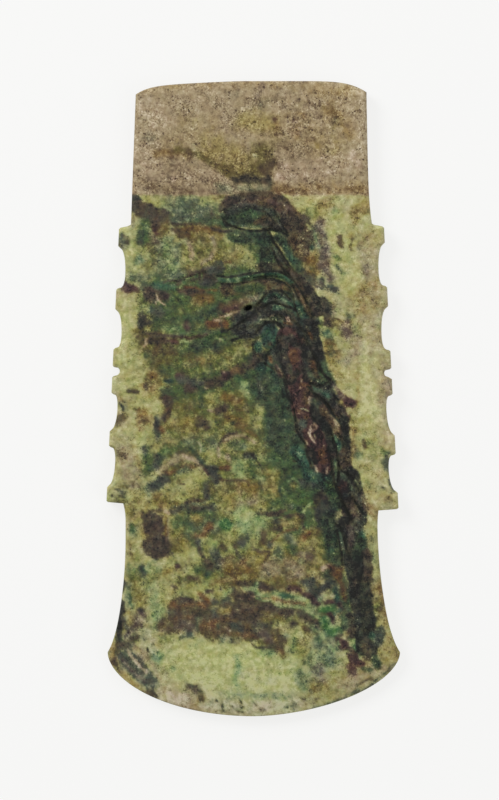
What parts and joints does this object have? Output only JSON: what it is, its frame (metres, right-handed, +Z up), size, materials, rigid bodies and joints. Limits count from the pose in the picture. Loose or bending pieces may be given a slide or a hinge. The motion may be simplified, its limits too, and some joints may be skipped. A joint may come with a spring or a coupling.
{
  "type": "axe head",
  "caption": "Flat jade axe head with a plain squared butt, notched sides and a flared, curved cutting edge, stained and crusted by buried copper.",
  "frame": {"origin": "under the middle of the blade, on the plane its back lies on", "axes": "+X across the blade, +Y along it from the cutting edge to the butt, +Z up through its thickness, out of the crusted face"},
  "size_m": [0.088, 0.1904, 0.0076],
  "materials": {
    "jade": "satin"
  },
  "bodies": {
    "root": {"axe_head": "jade"}
  },
  "joints": []
}
